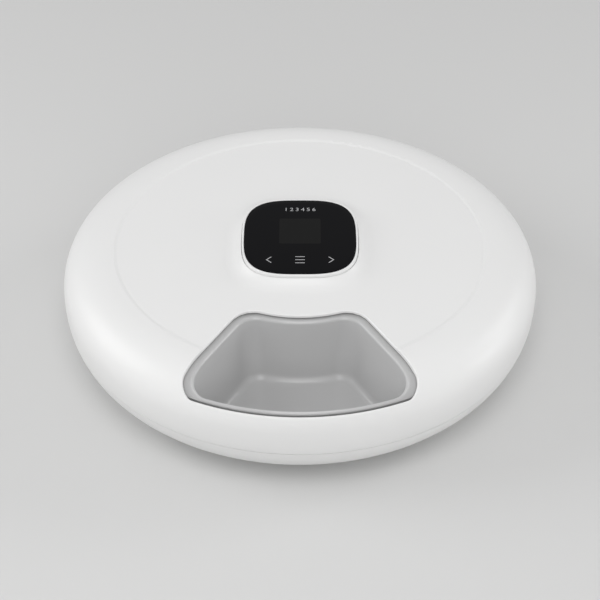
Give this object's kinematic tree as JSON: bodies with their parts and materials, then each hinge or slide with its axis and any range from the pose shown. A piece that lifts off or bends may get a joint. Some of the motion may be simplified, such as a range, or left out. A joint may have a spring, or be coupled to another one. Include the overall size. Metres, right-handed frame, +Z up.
{
  "type": "automatic pet feeder",
  "caption": "Low round pet feeder: a motor turns a tray of food pockets under a white lift-off lid with one food window; a dark glass control head stands in the middle.",
  "frame": {"origin": "centre of the round body, on the surface that the rubber feet stand on", "axes": "+Z up; -Y towards the food window, the side the pet eats from; +X to the right seen from there"},
  "size_m": [0.32, 0.32, 0.0844],
  "materials": {
    "shell_white": "satin moulded",
    "inner_white": "matt moulded",
    "tray_grey": "satin moulded",
    "lock_grey": "satin moulded",
    "gear_plastic": "natural acetal",
    "rubber_grey": "matt",
    "panel_black": "polished",
    "steel": "zinc plated",
    "motor_steel": "plated can",
    "spring_metal": "nickel plated",
    "magnet_metal": "nickel plated",
    "socket_metal": "plated",
    "dark_plastic": "matt moulded",
    "cell_wrap": "plain wrap",
    "board_green": "solder mask",
    "display_dark": "smooth"
  },
  "bodies": {
    "base": {"base_tub": "shell_white", "rubber_feet": "rubber_grey", "base_screws": "steel", "deck_and_column": "inner_white", "roller_pins": "steel", "gearbox": "dark_plastic", "motor": "motor_steel", "motor_screws": "steel", "battery_holder": "dark_plastic", "holder_screws": "steel", "battery_cells": "cell_wrap", "contact_plates": "spring_metal", "main_board": "board_green", "board_screws": "steel", "power_inlet": "socket_metal", "index_sensor": "board_green", "head_shell": "shell_white", "glass_panel": "panel_black", "head_board": "board_green", "display": "display_dark", "touch_springs": "spring_metal", "buzzer": "dark_plastic", "head_board_screws": "steel", "cover_screws": "steel"},
    "turntable": {"turntable": "inner_white", "index_magnets": "magnet_metal"},
    "tray": {"food_tray": "tray_grey"},
    "lid": {"lid": "shell_white"},
    "lid_lock": {"lid_lock": "lock_grey"},
    "pinion": {"drive_pinion": "gear_plastic", "output_shaft": "steel"},
    "roller_left": {"support_roller_left": "gear_plastic"},
    "roller_right": {"support_roller_right": "gear_plastic"},
    "roller_front": {"support_roller_front": "gear_plastic"},
    "battery_door": {"battery_door": "shell_white", "door_springs": "spring_metal"}
  },
  "joints": [
    {"name": "lid_lift", "type": "slide", "parent": "base", "child": "lid", "axis": [0, 0, 1], "range_m": [0, 0.15]},
    {"name": "lid_lock_slide", "type": "slide", "parent": "lid", "child": "lid_lock", "axis": [1, 0, 0], "range_m": [0, 0.006]},
    {"name": "turntable_spin", "type": "hinge", "parent": "base", "child": "turntable", "pos_m": [0, 0, 0.025], "axis": [0, 0, 1], "continuous": true},
    {"name": "tray_lift", "type": "slide", "parent": "turntable", "child": "tray", "axis": [0, 0, 1], "range_m": [0, 0.075]},
    {"name": "pinion_spin", "type": "hinge", "parent": "base", "child": "pinion", "pos_m": [0, 0.045, 0.02], "axis": [0, 0, 1], "continuous": true},
    {"name": "roller_left_spin", "type": "hinge", "parent": "base", "child": "roller_left", "pos_m": [-0.10219, 0.059, 0.02095], "axis": [-0.866, 0.5, 0], "continuous": true},
    {"name": "roller_right_spin", "type": "hinge", "parent": "base", "child": "roller_right", "pos_m": [0.10219, 0.059, 0.02095], "axis": [0.866, 0.5, 0], "continuous": true},
    {"name": "roller_front_spin", "type": "hinge", "parent": "base", "child": "roller_front", "pos_m": [0, -0.118, 0.02095], "axis": [0, -1, 0], "continuous": true},
    {"name": "battery_door_slide", "type": "slide", "parent": "base", "child": "battery_door", "axis": [0, 0, -1], "range_m": [0, 0.05]}
  ],
  "couplings": [
    {"joint": "tray_lift", "follows": "lid_lift", "ratio": 0.5},
    {"joint": "pinion_spin", "follows": "turntable_spin", "ratio": 3.1429},
    {"joint": "roller_left_spin", "follows": "turntable_spin", "ratio": -29.5},
    {"joint": "roller_right_spin", "follows": "turntable_spin", "ratio": -29.5},
    {"joint": "roller_front_spin", "follows": "turntable_spin", "ratio": -29.5}
  ]
}
